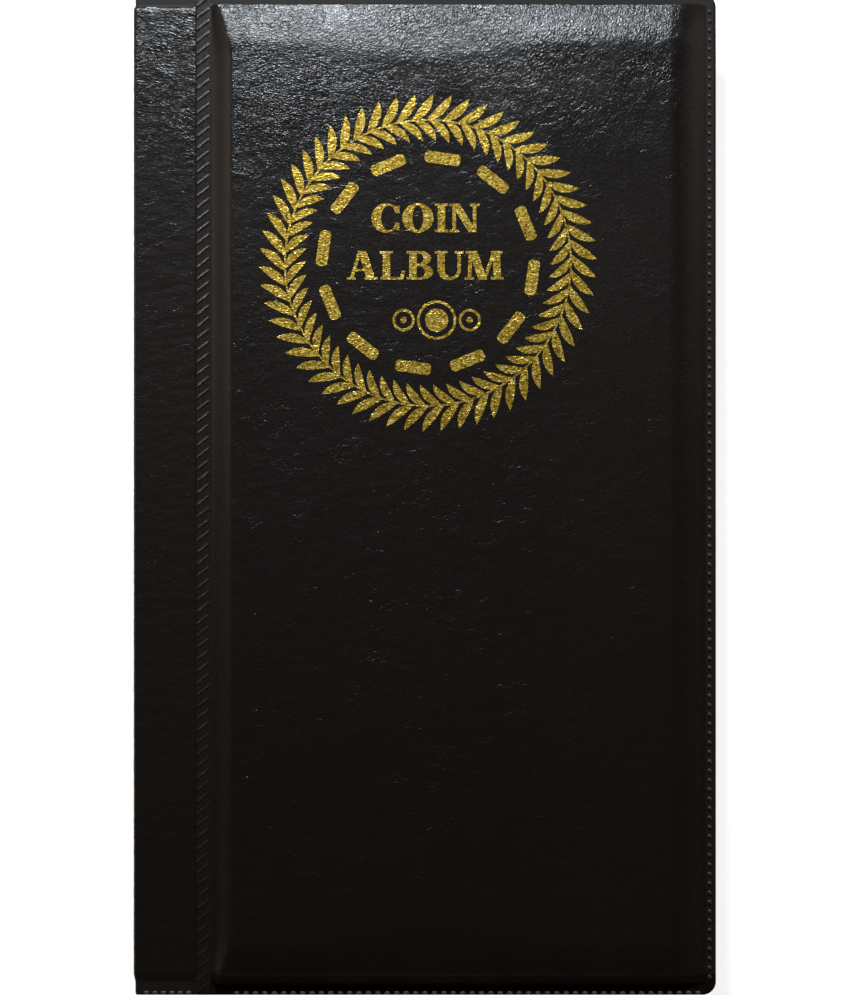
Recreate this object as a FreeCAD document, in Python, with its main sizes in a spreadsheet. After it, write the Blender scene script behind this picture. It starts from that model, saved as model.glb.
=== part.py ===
"""Coin album: a padded vinyl cover, a riveted binding and ten clear pocket leaves.

The album lies closed on its back cover. The row frame's origin is the middle of
the closed album's underside: +X runs from the spine to the fore-edge, +Y to the
head and +Z up, all in millimetres. Inside each body X is measured from the outer
face of the spine, and the body's Placement moves it into the row frame.
"""
import FreeCAD, Part
import math
import os

import Sketcher

SIZES = [
    ("album_width", 131.0),      # spine to fore-edge
    ("album_height", 225.0),     # tail to head
    ("cover_thick", 4.2),        # padded cover, lining to crown
    ("leaf_count", 10),
    ("leaf_pitch", 1.3),
    ("strip_width", 14.0),       # plain binding strip on each face
    ("weld_width", 3.2),         # welded rope line beside the strip
    ("channel_width", 4.1),      # flexible hinge channel
    ("fore_rim", 3.6),           # flat welded rim at the fore-edge
    ("end_rim", 2.3),            # flat welded rim at head and tail
    ("channel_rim", 0.4),        # flat welded rim beside the hinge channel
    ("corner_round", 3.0),       # the album's corners at the fore-edge
    ("crown_corner", 2.5),       # the padded panel's corners
    ("crown_round", 2.4),
    ("skin_thick", 0.8),
    ("rim_skin", 0.6),
    ("lining_thick", 0.3),
    ("board_thick", 1.3),
    ("web_thick", 0.7),
    ("web_lift", 0.2),           # hinge web above the cover's lining face
    ("binding_skin", 0.6),
    ("binding_board", 0.6),
    ("binding_lining", 0.3),
    ("binding_half", 6.15),      # half of the gap between the binding's linings
    ("weld_sink", 0.3),          # rope line pressed below the plain strip
    ("spine_board", 1.0),
    ("spine_round", 1.0),
    ("film_thick", 0.2),
    ("pocket_film", 0.15),
    ("weld_thick", 0.25),
    ("weld_rib", 1.6),
    ("leaf_drop", 0.2),          # leaf film below the middle of its pitch
    ("stub_start", 2.6),
    ("page_start", 29.0),        # where the stiff pocket page begins
    ("page_end", 127.5),
    ("page_height", 214.0),
    ("cell_width", 32.5),
    ("cell_height", 35.0),
    ("cell_columns", 3),
    ("cell_rows", 6),
    ("cell_left", 29.0),
    ("thumb_gap", 4.0),          # open mouth above each pocket film
    ("post_radius", 1.6),
    ("post_bore", 1.0),
    ("post_clearance", 0.1),
    ("cap_radius", 3.0),
    ("cap_thick", 0.3),
    ("post_inset", 8.0),
    ("post_spacing", 80.0),
    ("foil_thick", 0.05),
    ("wreath_across", 0.75),     # wreath centre right of the album's middle
    ("wreath_up", 51.8),         # and above it
    ("sprig_count", 58),
    ("stem_radius", 32.2),
    ("stem_width", 0.4),
    ("outer_leaf", 7.7),
    ("outer_lean", 45.0),        # degrees from the stem's outward normal
    ("outer_belly", 0.21),       # bulge of each side, as a share of the leaf's length
    ("outer_back", 0.05),
    ("inner_leaf", 6.7),
    ("inner_lean", 40.0),
    ("inner_belly", 0.25),
    ("inner_back", 0.02),
    ("dash_count", 12),
    ("dash_radius", 23.6),
    ("dash_length", 8.0),
    ("dash_width", 2.6),
    ("dash_round", 0.9),
    ("dash_turn", 8.0),          # first dash clockwise from the head, degrees
    ("letter_height", 6.4),
    ("letter_stretch", 1.05),
    ("letter_gap", 0.3),
    ("title_across", 0.2),
    ("title_up", 61.85),
    ("title_drop", 10.6),
    ("emblem_across", 2.7),
    ("emblem_up", 39.0),
    ("coin_radius", 4.4),
    ("small_coin", 2.5),
    ("coin_gap", 0.5),
    ("coin_rim", 0.6),
]

# Strokes of the title's letters, as shares of the letter's height before it is stretched.
SERIF = 0.09
STEM = 0.25
THIN = 0.12
SLANT = 0.28
BOWL = 0.34

doc = FreeCAD.newDocument("CoinAlbum")
sheet = doc.addObject("Spreadsheet::Sheet", "Sizes")
for row, (alias, value) in enumerate(SIZES, start=1):
    sheet.set("A%d" % row, alias)
    sheet.set("B%d" % row, str(value))
    sheet.setAlias("B%d" % row, alias)
doc.recompute()

# Places shared by several pieces, as expressions over the sheet.
ALIASES = sorted((alias for alias, value in SIZES), key=len, reverse=True)
WELD_END = "(strip_width + weld_width)"
PANEL_START = "(strip_width + weld_width + channel_width)"
THICKNESS = "(2 * cover_thick + leaf_count * leaf_pitch)"
MIDDLE = "(cover_thick + leaf_count * leaf_pitch / 2)"
FACE = "(%s - cover_thick)" % THICKNESS
BOARD_OUT = "(binding_half + binding_lining + binding_board)"
STRIP_OUT = "(binding_half + binding_lining + binding_board + binding_skin)"
FIRST_FILM = "(%s - leaf_pitch / 2 - leaf_drop - film_thick / 2)" % FACE
RAISED_START = "(%s + channel_rim)" % PANEL_START
RAISED_END = "(album_width - fore_rim)"
RAISED_HALF = "(album_height / 2 - end_rim)"

parts = {}


def bound(expression):
    """The expression with every alias pointing at the sheet."""
    words = []
    word = ""
    for letter in str(expression) + " ":
        if letter.isalnum() or letter == "_":
            word += letter
            continue
        if word:
            words.append("Sizes." + word if word in ALIASES else word)
        words.append(letter)
        word = ""
    return "".join(words).strip()


def number(expression):
    """The expression's value now, from the sheet."""
    return float(sheet.evalExpression(bound(expression)))


def bind(target, path, expression):
    """Set a property from the sheet and keep it bound."""
    target.setExpression(path, bound(expression))


def new_body(label, up="0", across="-album_width / 2"):
    """An empty body with its own label, placed from the sheet."""
    body = doc.addObject("PartDesign::Body", label)
    body.Label = label
    body.AllowCompound = True
    bind(body, "Placement.Base.x", across)
    bind(body, "Placement.Base.z", up)
    parts[label] = body
    return body


def new_sketch(body, role, name):
    """A sketch on one of the body's own origin planes."""
    sketch = body.newObject("Sketcher::SketchObject", body.Name + "_" + name)
    plane = [item for item in body.Origin.OriginFeatures if item.Role == role][0]
    sketch.AttachmentSupport = (plane, "")
    sketch.MapMode = "FlatFace"
    return sketch


def pin_point(sketch, geometry, end, place):
    """Hold one point at (across, up) from the sketch's origin."""
    for kind, expression in zip(("DistanceX", "DistanceY"), place):
        value = number(expression)
        rule = sketch.addConstraint(Sketcher.Constraint(kind, -1, 1, geometry, end, value))
        sketch.setExpression("Constraints[%d]" % rule, bound(expression))


def polygon(sketch, corners):
    """A closed outline of straight sides through corners held by the sheet."""
    spots = [FreeCAD.Vector(number(across), number(up), 0) for across, up in corners]
    first = sketch.GeometryCount
    count = len(spots)
    for index in range(count):
        side = Part.LineSegment(spots[index], spots[(index + 1) % count])
        sketch.addGeometry(side, False)
    for index in range(count):
        following = first + (index + 1) % count
        sketch.addConstraint(Sketcher.Constraint("Coincident", first + index, 2, following, 1))
    for index, corner in enumerate(corners):
        pin_point(sketch, first + index, 1, corner)


def rectangle(sketch, left, right, low, high):
    """A rectangle between four expressions."""
    polygon(sketch, [(left, low), (right, low), (right, high), (left, high)])


def circle(sketch, across, up, radius):
    """A circle with its centre and radius held by the sheet."""
    centre = FreeCAD.Vector(number(across), number(up), 0)
    index = sketch.addGeometry(Part.Circle(centre, FreeCAD.Vector(0, 0, 1), number(radius)), False)
    pin_point(sketch, index, 3, (across, up))
    rule = sketch.addConstraint(Sketcher.Constraint("Radius", index, number(radius)))
    sketch.setExpression("Constraints[%d]" % rule, bound(radius))


def pad(body, sketch, length, name, midplane=False):
    """Extrude a sketch and make it the body's tip."""
    feature = body.newObject("PartDesign::Pad", body.Name + "_" + name)
    feature.Profile = sketch
    feature.Midplane = midplane
    bind(feature, "Length", length)
    doc.recompute()
    return feature


def pocket(body, sketch, depth, name, reverse):
    """Cut a sketch's outline out of the body and confirm that it removed something."""
    before = body.Shape.Volume
    feature = body.newObject("PartDesign::Pocket", body.Name + "_" + name)
    feature.Profile = sketch
    feature.Reversed = reverse
    bind(feature, "Length", depth)
    doc.recompute()
    if body.Shape.Volume >= before:
        raise RuntimeError("%s cuts nothing" % feature.Name)
    return feature


def pattern(body, feature, role, gap, count, name):
    """Repeat a feature in a straight line along an origin axis."""
    repeat = body.newObject("PartDesign::LinearPattern", body.Name + "_" + name)
    repeat.Originals = [feature]
    axis = [item for item in body.Origin.OriginFeatures if item.Role == role][0]
    repeat.Direction = (axis, [""])
    bind(repeat, "Length", "(%s) * (%s - 1)" % (gap, count))
    bind(repeat, "Occurrences", count)
    body.Tip = repeat
    doc.recompute()
    return repeat


def polar(body, features, count, name):
    """Repeat features in a full ring about the body's own Z axis."""
    repeat = body.newObject("PartDesign::PolarPattern", body.Name + "_" + name)
    repeat.Originals = features
    axis = [item for item in body.Origin.OriginFeatures if item.Role == "Z_Axis"][0]
    repeat.Axis = (axis, [""])
    repeat.Angle = 360
    bind(repeat, "Occurrences", count)
    body.Tip = repeat
    doc.recompute()
    return repeat


def round_edges(body, chosen, radius, name):
    """Fillet the tip's edges that the chosen function picks."""
    base = body.Tip
    names = ["Edge%d" % (i + 1) for i, edge in enumerate(base.Shape.Edges) if chosen(edge)]
    feature = body.newObject("PartDesign::Fillet", body.Name + "_" + name)
    feature.Base = (base, names)
    bind(feature, "Radius", radius)
    doc.recompute()
    return feature


def is_upright(edge, left, right):
    """A straight edge along Z whose X lies between two values."""
    ends = [vertex.Point for vertex in edge.Vertexes]
    if len(ends) != 2 or abs(ends[0].z - ends[1].z) < 0.05:
        return False
    return edge.Length < abs(ends[0].z - ends[1].z) + 0.001 and left < ends[0].x < right


def is_level(edge, height):
    """An edge that lies wholly at one height."""
    box = edge.BoundBox
    return abs(box.ZMin - height) < 0.001 and abs(box.ZMax - height) < 0.001


def plate(label, left, right, half, up, thick):
    """A flat rectangular piece, centred along Y."""
    body = new_body(label, up)
    sketch = new_sketch(body, "XY_Plane", "outline")
    rectangle(sketch, left, right, "-(%s)" % half, half)
    pad(body, sketch, thick, "pad")
    return body


def post_circles(sketch, radius):
    """A circle at each of the three rivets."""
    for step in ("-1", "0", "1"):
        circle(sketch, "post_inset", "%s * post_spacing" % step, radius)


def drill_posts(body, depth, radius, name, height="0"):
    """Cut round holes or recesses at the three rivets, from a height of the body upwards."""
    sketch = new_sketch(body, "XY_Plane", name)
    bind(sketch, "AttachmentOffset.Base.z", height)
    post_circles(sketch, radius)
    pocket(body, sketch, depth, name + "_cut", True)


def spine_wrap():
    """The outer vinyl wrap of the binding, with both plain strips and rope lines."""
    body = new_body("spine_wrap_skin", MIDDLE)
    sunk = "(%s - weld_sink)" % STRIP_OUT
    lower = "(%s - binding_skin)" % sunk
    half = [(WELD_END, sunk), ("strip_width", sunk), ("strip_width", STRIP_OUT), ("0", STRIP_OUT)]
    back = [("binding_skin", BOARD_OUT), ("strip_width", BOARD_OUT),
            ("strip_width", lower), (WELD_END, lower)]
    mirrored_half = [(across, "-(%s)" % up) for across, up in reversed(half)]
    mirrored_back = [(across, "-(%s)" % up) for across, up in reversed(back)]
    sketch = new_sketch(body, "XZ_Plane", "section")
    polygon(sketch, half + mirrored_half + mirrored_back + back)
    pad(body, sketch, "album_height", "pad", midplane=True)

    def outer_corner(edge):
        box = edge.BoundBox
        return box.XMax < 0.001 and box.YLength > 1

    round_edges(body, outer_corner, "spine_round", "spine_corners")


def binding_lining():
    """The inner lining, welded to the wrap under both rope lines."""
    body = new_body("binding_lining", MIDDLE)
    weld = "(%s - binding_skin - weld_sink)" % STRIP_OUT
    wall = "(binding_skin + spine_board)"
    face = "(binding_half + binding_lining)"
    inside = "(%s + binding_lining)" % wall
    upper = [(WELD_END, weld), ("strip_width", weld), ("strip_width", face), (wall, face)]
    inner = [(inside, "binding_half"), (WELD_END, "binding_half")]
    lower = [(across, "-(%s)" % up) for across, up in reversed(upper)]
    inner_low = [(across, "-(%s)" % up) for across, up in reversed(inner)]
    sketch = new_sketch(body, "XZ_Plane", "section")
    polygon(sketch, upper + lower + inner_low + inner)
    pad(body, sketch, "album_height", "pad", midplane=True)
    drill_posts(body, "2 * %s" % face, "post_radius + post_clearance", "holes", "-%s" % face)


def binding_boards():
    """Card stiffeners: one in the spine and one in each strip."""
    plate("spine_board", "binding_skin", "binding_skin + spine_board", "album_height / 2 - 1",
          "%s - %s" % (MIDDLE, BOARD_OUT), "2 * %s" % BOARD_OUT)
    inner = "(binding_half + binding_lining)"
    for label, up in (("front_strip_board", "%s + %s" % (MIDDLE, inner)),
                      ("back_strip_board", "%s - %s" % (MIDDLE, BOARD_OUT))):
        body = plate(label, "binding_skin + spine_board", "strip_width - 0.2",
                     "album_height / 2 - 1", up, "binding_board")
        drill_posts(body, "binding_board", "post_radius + post_clearance", "holes")
        recess = "binding_board - cap_thick" if label == "front_strip_board" else "0"
        drill_posts(body, "cap_thick", "cap_radius + post_clearance", "recess", recess)


def binding_posts():
    """Three tubular rivets and the flanged caps that close them at both ends."""
    body = new_body("binding_posts", "%s - %s + cap_thick" % (MIDDLE, BOARD_OUT))
    sketch = new_sketch(body, "XY_Plane", "rings")
    post_circles(sketch, "post_radius")
    post_circles(sketch, "post_bore")
    pad(body, sketch, "2 * (%s - cap_thick)" % BOARD_OUT, "pad")
    caps = new_body("post_caps", "%s - %s" % (MIDDLE, BOARD_OUT))
    sketch = new_sketch(caps, "XY_Plane", "discs")
    post_circles(sketch, "cap_radius")
    disc = pad(caps, sketch, "cap_thick", "pad")
    pattern(caps, disc, "Z_Axis", "2 * %s - cap_thick" % BOARD_OUT, "2", "pairs")


def binding_stack():
    """Leaf stubs and card spacers, threaded on the rivets in turn."""
    last_film = "(%s - leaf_pitch * (leaf_count - 1))" % FIRST_FILM
    clear = "post_radius + post_clearance"
    stubs = new_body("leaf_stubs", last_film)
    sketch = new_sketch(stubs, "XY_Plane", "outline")
    rectangle(sketch, "stub_start", WELD_END, "-page_height / 2", "page_height / 2")
    post_circles(sketch, clear)
    film = pad(stubs, sketch, "film_thick", "pad")
    pattern(stubs, film, "Z_Axis", "leaf_pitch", "leaf_count", "films")

    spacers = new_body("binding_spacers", "%s + film_thick" % last_film)
    sketch = new_sketch(spacers, "XY_Plane", "outline")
    rectangle(sketch, "stub_start", "strip_width", "-page_height / 2", "page_height / 2")
    post_circles(sketch, clear)
    card = pad(spacers, sketch, "leaf_pitch - film_thick", "pad")
    pattern(spacers, card, "Z_Axis", "leaf_pitch", "leaf_count - 1", "cards")

    top = "(%s + binding_half - %s - film_thick)" % (MIDDLE, FIRST_FILM)
    shim = plate("binding_shim", "stub_start", "strip_width", "page_height / 2",
                 "%s + film_thick" % FIRST_FILM, top)
    drill_posts(shim, "leaf_pitch", clear, "holes")


def hinge_webs():
    """The flexible channels that join the binding to each cover."""
    half = "album_height / 2"
    plate("front_hinge_web", WELD_END, PANEL_START, half, "%s + web_lift" % FACE, "web_thick")
    plate("back_hinge_web", WELD_END, PANEL_START, half,
          "cover_thick - web_lift - web_thick", "web_thick")


def fold_margins():
    """The free margin of each leaf's film, between the binding and the pocket page."""
    body = new_body("leaf_fold_margins", "%s - leaf_pitch * (leaf_count - 1)" % FIRST_FILM)
    sketch = new_sketch(body, "XY_Plane", "outline")
    rectangle(sketch, WELD_END, "page_start", "-page_height / 2", "page_height / 2")
    film = pad(body, sketch, "film_thick", "pad")
    pattern(body, film, "Z_Axis", "leaf_pitch", "leaf_count", "films")


def place_on_cover(body, side, height):
    """Put a piece modelled on the front cover's lining face on either cover."""
    if side == "front":
        bind(body, "Placement.Base.z", "%s + (%s)" % (FACE, height))
        return
    body.Placement = FreeCAD.Placement(FreeCAD.Vector(), FreeCAD.Rotation(FreeCAD.Vector(1, 0, 0), 180))
    bind(body, "Placement.Base.x", "-album_width / 2")
    bind(body, "Placement.Base.z", "cover_thick - (%s)" % height)


def fore_edge(edge):
    """The panel's two upright corners at the fore-edge."""
    return is_upright(edge, number("album_width") - 1, number("album_width") + 1)


def cover_crown(side):
    """The panel's outer form: a flat rim with a crowned, round-cornered middle."""
    body = new_body(side + "_crown")
    place_on_cover(body, side, "lining_thick")
    rim = new_sketch(body, "XY_Plane", "rim")
    rectangle(rim, PANEL_START, "album_width", "-album_height / 2", "album_height / 2")
    pad(body, rim, "rim_skin", "rim_pad")
    round_edges(body, fore_edge, "corner_round", "rim_corners")
    crown = new_sketch(body, "XY_Plane", "crown")
    rectangle(crown, RAISED_START, RAISED_END, "-%s" % RAISED_HALF, RAISED_HALF)
    height = "cover_thick - lining_thick"
    pad(body, crown, height, "crown_pad")
    left = number(PANEL_START)
    right = number(RAISED_END) + 0.5
    top = number(height)
    round_edges(body, lambda edge: is_upright(edge, left, right) and edge.BoundBox.ZMax > top - 0.01,
                "crown_corner", "crown_corners")
    round_edges(body, lambda edge: is_level(edge, top), "crown_round", "crown_edge")
    return parts.pop(body.Label)


def cover_core(label, side, height, thick, top_round):
    """A filling of the panel's hollow, with the hollow's round corners."""
    body = new_body(label)
    place_on_cover(body, side, height)
    sketch = new_sketch(body, "XY_Plane", "outline")
    rectangle(sketch, "%s + skin_thick" % RAISED_START, "%s - skin_thick" % RAISED_END,
              "-%s + skin_thick" % RAISED_HALF, "%s - skin_thick" % RAISED_HALF)
    pad(body, sketch, thick, "pad")
    end = number("album_width")
    round_edges(body, lambda edge: is_upright(edge, 0, end), "crown_corner - skin_thick", "corners")
    if top_round:
        top = number(thick)
        round_edges(body, lambda edge: is_level(edge, top), "crown_round - skin_thick", "crown")
    return body


def cover_skin(side):
    """The padded panel's vinyl: the outer form less the room for board and foam."""
    inside = "cover_thick - lining_thick - skin_thick"
    hollow = cover_core(side + "_hollow", side, "lining_thick", inside, True)
    parts.pop(hollow.Label)
    skin = doc.addObject("Part::Cut", side + "_skin")
    skin.Label = side + "_skin"
    skin.Base = cover_crown(side)
    skin.Tool = hollow
    doc.recompute()
    parts[skin.Label] = skin


def cover_lining(side):
    """The flat inner face of a cover."""
    body = new_body(side + "_lining")
    place_on_cover(body, side, "0")
    sketch = new_sketch(body, "XY_Plane", "outline")
    rectangle(sketch, PANEL_START, "album_width", "-album_height / 2", "album_height / 2")
    pad(body, sketch, "lining_thick", "pad")
    round_edges(body, fore_edge, "corner_round", "corners")


def cover(side):
    """One padded cover: skin, foam, board and lining."""
    cover_skin(side)
    cover_core(side + "_board", side, "lining_thick", "board_thick", False)
    foam = "cover_thick - lining_thick - skin_thick - board_thick"
    cover_core(side + "_foam", side, "lining_thick + board_thick", foam, True)
    cover_lining(side)


def leaf(index):
    """One pocket leaf: its back film, its pocket films and the welds between them."""
    film = "(%s - leaf_pitch * %d)" % (FIRST_FILM, index)
    name = "leaf_%02d" % (index + 1)
    plate(name + "_film", "page_start", "page_end", "page_height / 2", film, "film_thick")
    bottom = "(-cell_rows * cell_height / 2)"
    right = "(cell_left + cell_columns * cell_width)"

    welds = new_body(name + "_welds", "%s + film_thick" % film)
    sketch = new_sketch(welds, "XY_Plane", "outline")
    rectangle(sketch, "cell_left", right, bottom, "cell_rows * cell_height / 2")
    pad(welds, sketch, "weld_thick", "pad")
    window = new_sketch(welds, "XY_Plane", "window")
    rectangle(window, "cell_left + weld_rib / 2", "cell_left + cell_width - weld_rib / 2",
              "%s + weld_rib / 2" % bottom, "%s + cell_height - weld_rib / 2" % bottom)
    cut = pocket(welds, window, "weld_thick", "window_cut", True)
    grid = welds.newObject("PartDesign::MultiTransform", welds.Name + "_grid")
    grid.Originals = [cut]
    steps = []
    ways = (("X_Axis", "cell_width", "cell_columns"), ("Y_Axis", "cell_height", "cell_rows"))
    for role, gap, count in ways:
        step = welds.newObject("PartDesign::LinearPattern", "%s_%s" % (welds.Name, count))
        axis = [item for item in welds.Origin.OriginFeatures if item.Role == role][0]
        step.Direction = (axis, [""])
        bind(step, "Length", "%s * (%s - 1)" % (gap, count))
        bind(step, "Occurrences", count)
        steps.append(step)
    grid.Transformations = steps
    welds.Tip = grid
    doc.recompute()

    pockets = new_body(name + "_pockets", "%s + film_thick + weld_thick" % film)
    sketch = new_sketch(pockets, "XY_Plane", "strip")
    rectangle(sketch, "cell_left", right, "%s - 0.5" % bottom, "%s + cell_height - thumb_gap" % bottom)
    strip = pad(pockets, sketch, "pocket_film", "pad")
    pattern(pockets, strip, "Y_Axis", "cell_height", "cell_rows", "strips")


def foil_body(label):
    """A foil piece on the front cover, centred on the wreath."""
    return new_body(label, THICKNESS, "wreath_across")


def arc_leaf(sketch, root, tip, belly, back):
    """A pointed leaf between root and tip whose two sides are arcs."""
    along = tip - root
    side = FreeCAD.Vector(-along.y, along.x, 0)
    middle = (root + tip) * 0.5
    sketch.addGeometry(Part.Arc(root, middle + side * belly, tip), False)
    sketch.addGeometry(Part.Arc(root, middle + side * back, tip), False)


def laurel(body, name, start, outward, belly, back):
    """One leaf of a pair; outward is 1 outside the stem and -1 inside it."""
    lean = math.radians(number(name + "_lean"))
    length = number(name + "_leaf")
    root = FreeCAD.Vector(start, number("stem_radius - stem_width / 2"), 0)
    tip = root + FreeCAD.Vector(math.sin(lean), outward * math.cos(lean), 0) * length
    sketch = new_sketch(body, "XY_Plane", name)
    arc_leaf(sketch, root, tip, belly, back)
    return pad(body, sketch, "foil_thick", name + "_pad")


def foil_wreath():
    """A ring of paired, clockwise-swept laurel leaves on a thin stem."""
    body = foil_body("foil_wreath")
    bind(body, "Placement.Base.y", "wreath_up")
    sketch = new_sketch(body, "XY_Plane", "stem")
    circle(sketch, "0", "0", "stem_radius")
    circle(sketch, "0", "0", "stem_radius - stem_width")
    pad(body, sketch, "foil_thick", "stem_pad")
    pair = [laurel(body, "outer", -0.2, 1, -number("outer_belly"), number("outer_back")),
            laurel(body, "inner", 0.4, -1, number("inner_belly"), -number("inner_back"))]
    polar(body, pair, "sprig_count", "ring")


def round_bar(sketch, half_long, half_wide, up, turn):
    """A level bar with round corners."""
    centres = [(half_long - turn, half_wide - turn), (turn - half_long, half_wide - turn),
               (turn - half_long, turn - half_wide), (half_long - turn, turn - half_wide)]
    arcs = []
    for quarter, (across, rise) in enumerate(centres):
        corner = Part.Circle(FreeCAD.Vector(across, up + rise, 0), FreeCAD.Vector(0, 0, 1), turn)
        arcs.append(Part.ArcOfCircle(corner, quarter * math.pi / 2, (quarter + 1) * math.pi / 2))
    for index, arc in enumerate(arcs):
        sketch.addGeometry(arc, False)
        sketch.addGeometry(Part.LineSegment(arc.EndPoint, arcs[(index + 1) % 4].StartPoint), False)


def foil_dashes():
    """Twelve round-cornered dashes inside the wreath."""
    body = foil_body("foil_dashes")
    bind(body, "Placement.Base.y", "wreath_up")
    body.Placement = FreeCAD.Placement(FreeCAD.Vector(), FreeCAD.Rotation(FreeCAD.Vector(0, 0, 1), 0))
    bind(body, "Placement.Rotation.Angle", "-dash_turn")
    sketch = new_sketch(body, "XY_Plane", "dash")
    round_bar(sketch, number("dash_length / 2"), number("dash_width / 2"), number("dash_radius"),
              number("dash_round"))
    dash = pad(body, sketch, "foil_thick", "pad")
    polar(body, [dash], "dash_count", "ring")


def foil_solid(face):
    """A face of the unit letter raised so that it has the foil's thickness once scaled."""
    return face.extrude(FreeCAD.Vector(0, 0, number("foil_thick / letter_height")))


def bar(foot, head, low, high, width):
    """A straight stroke with level ends; foot and head are its middles."""
    half = width / 2
    wide = number("letter_stretch")
    corners = [(foot - half, low), (foot + half, low), (head + half, high), (head - half, high)]
    corners.append(corners[0])
    return foil_solid(Part.Face(Part.makePolygon([FreeCAD.Vector(x * wide, y, 0) for x, y in corners])))


def stem(middle, width=STEM, low=0.0, high=1.0):
    """An upright stroke."""
    return bar(middle, middle, low, high, width)


def serif(middle, width, top):
    """A thin level serif at the foot or the head of a stroke."""
    return stem(middle, width, 1 - SERIF, 1.0) if top else stem(middle, width, 0.0, SERIF)


def oval(across, up, wide, tall):
    """A filled ellipse with its half sizes."""
    stretch = number("letter_stretch")
    wide *= stretch
    curve = Part.Ellipse(FreeCAD.Vector(0, 0, 0), max(wide, tall), min(wide, tall))
    face = Part.Face(Part.Wire(curve.toShape()))
    if wide < tall:
        face.rotate(FreeCAD.Vector(0, 0, 0), FreeCAD.Vector(0, 0, 1), 90)
    face.translate(FreeCAD.Vector(across * stretch, up, 0))
    return foil_solid(face)


def ring(across, up, wide, tall, thin_side, thin_top):
    """An oval stroke that is thick at its sides and thin at top and bottom."""
    return oval(across, up, wide, tall).cut(oval(across, up, wide - thin_side, tall - thin_top))


def joined(pieces):
    """One solid from overlapping strokes."""
    return pieces[0].multiFuse(pieces[1:]).removeSplitter()


def letter_a():
    legs = [bar(0.13, 0.42, 0.0, 1.0, THIN), bar(0.80, 0.50, 0.0, 1.0, SLANT)]
    return joined(legs + [stem(0.45, 0.42, 0.29, 0.37), serif(0.13, 0.30, False), serif(0.80, 0.44, False)])


def letter_b():
    bowls = [ring(0.45, 0.745, 0.37, 0.255, 0.25, SERIF), ring(0.48, 0.27, 0.41, 0.27, 0.27, SERIF)]
    right = stem(0.68, 0.46)
    ties = [stem(0.37, 0.2, low, low + SERIF) for low in (0.0, 0.47, 1 - SERIF)]
    return joined([stem(0.22), serif(0.22, 0.42, False), serif(0.22, 0.42, True)] + ties
                  + [bowl.common(right) for bowl in bowls])


def letter_c():
    bowl = oval(0.49, 0.5, 0.49, 0.52).cut(oval(0.57, 0.5, 0.25, 0.52 - SERIF))
    mouth = stem(0.93, 0.30, 0.32, 0.68)
    return joined([bowl.cut(mouth), bar(0.84, 0.90, 0.66, 0.93, THIN), bar(0.90, 0.84, 0.07, 0.34, THIN)])


def letter_i():
    return joined([stem(0.22), serif(0.22, 0.44, False), serif(0.22, 0.44, True)])


def letter_l():
    foot = [stem(0.42, 0.76, 0.0, SERIF), bar(0.74, 0.80, 0.0, 0.30, THIN)]
    return joined([stem(0.24), serif(0.24, 0.44, True)] + foot)


def letter_m():
    legs = [bar(0.16, 0.20, 0.0, 1.0, THIN), bar(0.60, 0.28, 0.0, 1.0, SLANT),
            bar(0.66, 0.98, 0.0, 1.0, THIN), bar(1.09, 1.05, 0.0, 1.0, STEM)]
    return joined(legs + [serif(0.16, 0.30, False), serif(1.09, 0.42, False),
                          serif(0.18, 0.30, True), serif(1.07, 0.38, True)])


def letter_n():
    legs = [stem(0.16, THIN), bar(0.78, 0.20, 0.0, 1.0, SLANT), stem(0.84, THIN)]
    return joined(legs + [serif(0.16, 0.32, False), serif(0.14, 0.30, True), serif(0.84, 0.32, True)])


def letter_o():
    return ring(0.52, 0.5, 0.52, 0.52, BOWL, SERIF)


def letter_u():
    bowl = oval(0.49, 0.36, 0.39, 0.38).cut(oval(0.55, 0.36, 0.21, 0.26))
    foot = bowl.common(stem(0.49, 0.9, -0.05, 0.37))
    return joined([foot, stem(0.22, 0.24, 0.36, 1.0), stem(0.82, THIN, 0.36, 1.0),
                   serif(0.22, 0.42, True), serif(0.82, 0.30, True)])


def word(letters, across, up):
    """A centred row of letters, each given with its width."""
    scale = number("letter_height")
    advance = scale * number("letter_stretch")
    gap = number("letter_gap")
    total = sum(width * advance for shape, width in letters) + gap * (len(letters) - 1)
    left = across - total / 2
    solids = []
    for shape, width in letters:
        letter = shape.copy()
        letter.scale(scale)
        letter.translate(FreeCAD.Vector(left, up - scale / 2, 0))
        solids.extend(letter.Solids)
        left += width * advance + gap
    return solids


def foil_title():
    """The two generic title words, in a plain serif drawn stroke by stroke."""
    top = [(letter_c(), 0.98), (letter_o(), 1.04), (letter_i(), 0.44), (letter_n(), 1.0)]
    low = [(letter_a(), 1.02), (letter_l(), 0.86), (letter_b(), 0.89), (letter_u(), 0.96), (letter_m(), 1.3)]
    across = number("title_across")
    solids = word(top, across, number("title_up"))
    solids += word(low, across, number("title_up - title_drop"))
    title = doc.addObject("Part::Feature", "foil_title")
    title.Label = "foil_title"
    title.Shape = Part.makeCompound(solids)
    title.Placement = FreeCAD.Placement(FreeCAD.Vector(0, 0, number(THICKNESS)), FreeCAD.Rotation())
    parts["foil_title"] = title


def foil_emblem():
    """Three plain coins in a row, the middle one larger."""
    body = foil_body("foil_emblem")
    bind(body, "Placement.Base.x", "emblem_across")
    bind(body, "Placement.Base.y", "emblem_up")
    beside = "coin_radius + coin_gap + small_coin"
    coins = (("middle", "0", "coin_radius"), ("left", "-(%s)" % beside, "small_coin"),
             ("right", beside, "small_coin"))
    for name, across, radius in coins:
        rim = new_sketch(body, "XY_Plane", name + "_rim")
        circle(rim, across, "0", radius)
        circle(rim, across, "0", radius + " - coin_rim")
        pad(body, rim, "foil_thick", name + "_rim_pad")
        face = new_sketch(body, "XY_Plane", name + "_face")
        circle(face, across, "0", radius + " - 3 * coin_rim")
        pad(body, face, "foil_thick", name + "_face_pad")


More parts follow.
